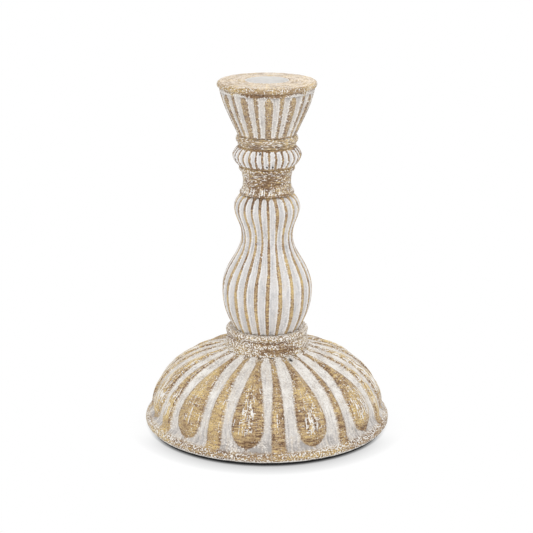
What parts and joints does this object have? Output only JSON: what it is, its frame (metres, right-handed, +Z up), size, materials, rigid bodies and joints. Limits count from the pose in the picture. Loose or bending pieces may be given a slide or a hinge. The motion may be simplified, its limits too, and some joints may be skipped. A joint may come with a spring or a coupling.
{
  "type": "candlestick",
  "caption": "Turned and carved wooden candlestick: petal-carved domed foot, fluted vase-shaped stem, small knop and flared cup with a metal-lined socket for a dinner candle.",
  "frame": {"origin": "centre of the pad's underside, on the surface that the candlestick stands on", "axes": "+Z up along the turning axis, -Y towards the front of the picture"},
  "size_m": [0.134, 0.134, 0.19],
  "materials": {
    "carved_wood": "whitewashed in the carved grooves, dry-brushed antique gold on the ridges",
    "turned_wood": "antique gold and brown paint with rubbed white wash",
    "dowel_wood": "bare beech",
    "liner_metal": "drawn, dull",
    "screw_steel": "zinc-plated",
    "pad_felt": "black felt"
  },
  "bodies": {
    "root": {"base_pad": "pad_felt", "foot": "carved_wood", "stem_collar": "turned_wood", "baluster": "carved_wood", "neck_ring": "turned_wood", "knop": "carved_wood", "cup_ring": "turned_wood", "candle_cup": "carved_wood", "drip_rim": "turned_wood", "candle_liner": "liner_metal", "upper_dowel": "dowel_wood", "lower_dowel": "dowel_wood", "foot_screw": "screw_steel", "screw_washer": "screw_steel"}
  },
  "joints": []
}
